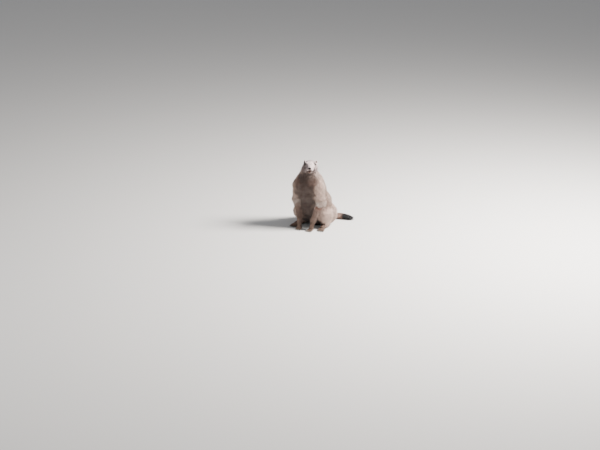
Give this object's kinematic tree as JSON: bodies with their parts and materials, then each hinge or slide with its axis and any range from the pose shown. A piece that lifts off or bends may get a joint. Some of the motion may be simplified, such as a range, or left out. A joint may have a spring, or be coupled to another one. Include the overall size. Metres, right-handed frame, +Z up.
{
  "type": "alpine marmot model",
  "caption": "Life-size still model of an adult alpine marmot sitting upright, forepaws down, head turned, tail curved along the floor.",
  "frame": {"origin": "on the floor, under the middle of the whole animal's bounding box", "axes": "+Z up; the body faces -Y; +X is the animal's left; the head is turned to its left and the tail curves to its left"},
  "size_m": [0.3002, 0.3678, 0.4245],
  "materials": {
    "back_fur": "thick, slightly coarse coat of pinkish grey-brown guard hairs over darker underfur",
    "flank_fur": "thick buff-brown coat, rusty at the elbow and thigh",
    "breast_fur": "darker brown coat, softer and shorter than the back's",
    "face_fur": "short, dense grey-brown fur, pale round the muzzle",
    "foot_fur": "very short buff-brown fur",
    "tail_tip_fur": "long black guard hairs",
    "nose": "bare, finely grained, slightly moist black skin",
    "eyes": "wet, glossy, almost black brown",
    "claws": "smooth dark horn, a little worn"
  },
  "bodies": {
    "root": {"belly": "back_fur", "chest": "breast_fur", "ear_left": "face_fur", "ear_right": "face_fur", "eye_left": "eyes", "eye_right": "eyes", "forearm_left": "breast_fur", "forearm_right": "breast_fur", "forepaw_left": "foot_fur", "forepaw_left_claw_1": "claws", "forepaw_left_claw_2": "claws", "forepaw_left_claw_3": "claws", "forepaw_left_claw_4": "claws", "forepaw_right": "foot_fur", "forepaw_right_claw_1": "claws", "forepaw_right_claw_2": "claws", "forepaw_right_claw_3": "claws", "forepaw_right_claw_4": "claws", "haunch_left": "flank_fur", "haunch_right": "flank_fur", "head": "face_fur", "hind_foot_left": "foot_fur", "hind_foot_left_claw_1": "claws", "hind_foot_left_claw_2": "claws", "hind_foot_left_claw_3": "claws", "hind_foot_left_claw_4": "claws", "hind_foot_left_claw_5": "claws", "hind_foot_right": "foot_fur", "hind_foot_right_claw_1": "claws", "hind_foot_right_claw_2": "claws", "hind_foot_right_claw_3": "claws", "hind_foot_right_claw_4": "claws", "hind_foot_right_claw_5": "claws", "muzzle": "face_fur", "neck": "back_fur", "nose_pad": "nose", "rump": "back_fur", "tail_base": "back_fur", "tail_tip": "tail_tip_fur", "upper_arm_left": "flank_fur", "upper_arm_right": "flank_fur"}
  },
  "joints": []
}
